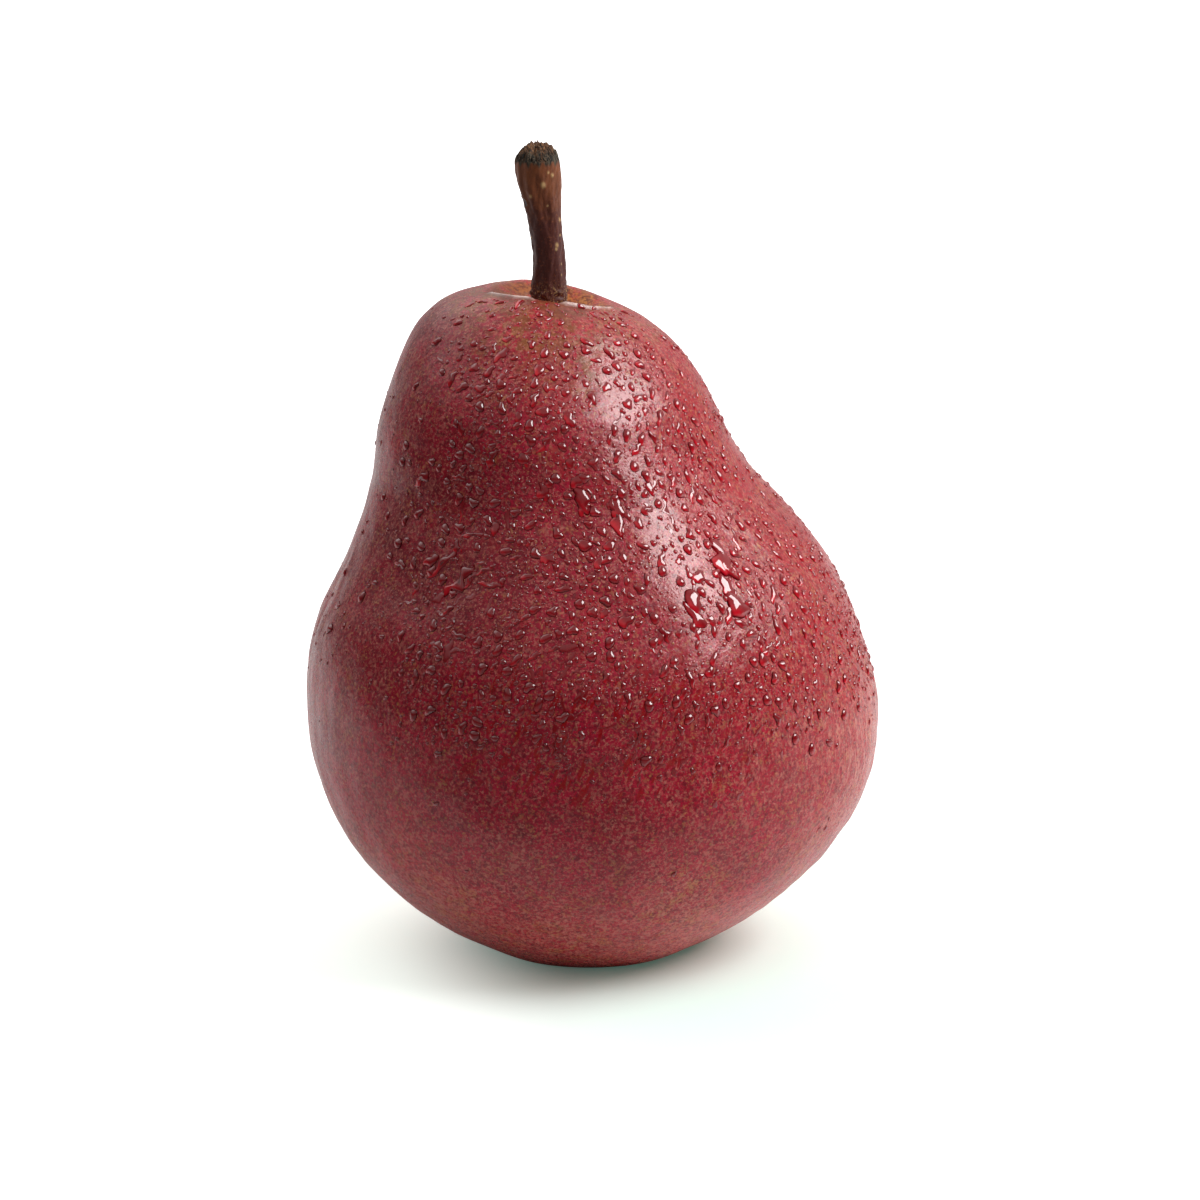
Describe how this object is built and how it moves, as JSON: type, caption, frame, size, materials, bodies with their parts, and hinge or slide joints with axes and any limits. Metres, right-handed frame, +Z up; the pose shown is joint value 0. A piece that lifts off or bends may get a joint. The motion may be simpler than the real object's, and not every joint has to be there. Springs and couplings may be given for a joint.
{
  "type": "pear",
  "caption": "Ripe red pear standing on its base, with a leaning neck, a short woody stem and the dried calyx underneath.",
  "frame": {"origin": "on the surface the pear stands on, under the middle of the fruit", "axes": "+Z up from the foot to the stem; -X is the side the neck leans to; -Y is the front, where the stem cavity's lip ramps up to the stem"},
  "size_m": [0.0761, 0.0748, 0.1087],
  "materials": {
    "skin": "ripe red pear skin, satin with russet specks",
    "stem": "rough dark brown stalk",
    "calyx": "dry withered sepals"
  },
  "bodies": {
    "root": {"pear_body": "skin", "stem": "stem", "calyx": "calyx"}
  },
  "joints": []
}
